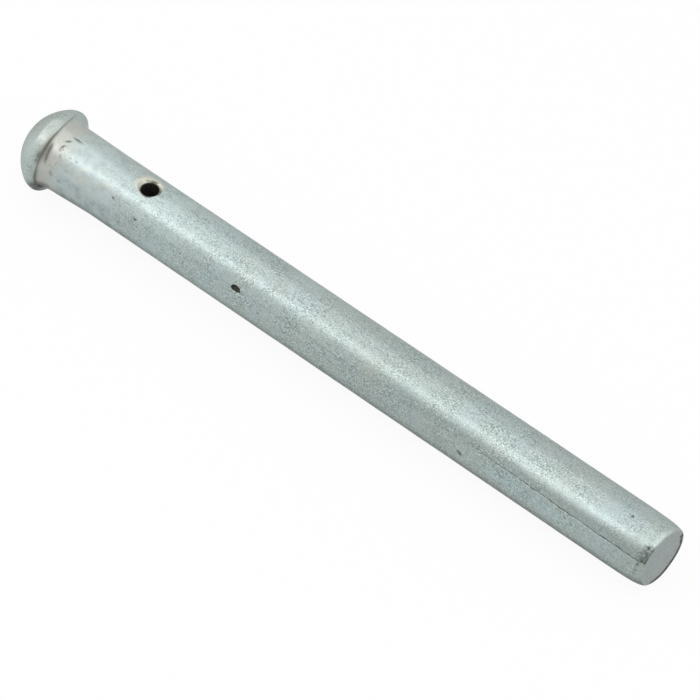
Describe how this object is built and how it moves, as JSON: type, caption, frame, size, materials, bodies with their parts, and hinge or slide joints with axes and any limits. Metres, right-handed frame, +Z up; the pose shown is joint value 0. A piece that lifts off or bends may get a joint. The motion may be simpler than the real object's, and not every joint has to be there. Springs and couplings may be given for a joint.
{
  "type": "brake pad pin",
  "caption": "Headed steel pin that brake pads slide on: domed button head, straight shank with a cross hole for a split pin near the head, tapered cropped tail.",
  "frame": {"origin": "on the surface that the pin lies on, below the middle of the pin's box", "axes": "+X along the pin from the head to the tail, +Z up along the split pin hole, as the pin lies on its head's rim and its tail"},
  "size_m": [0.1386, 0.0158, 0.0157],
  "materials": {
    "zinc_plate": "dull bright-zinc plating on cold-headed bar, blue-grey, finely speckled, with beige stains near the head"
  },
  "bodies": {
    "root": {"pin": "zinc_plate"}
  },
  "joints": []
}
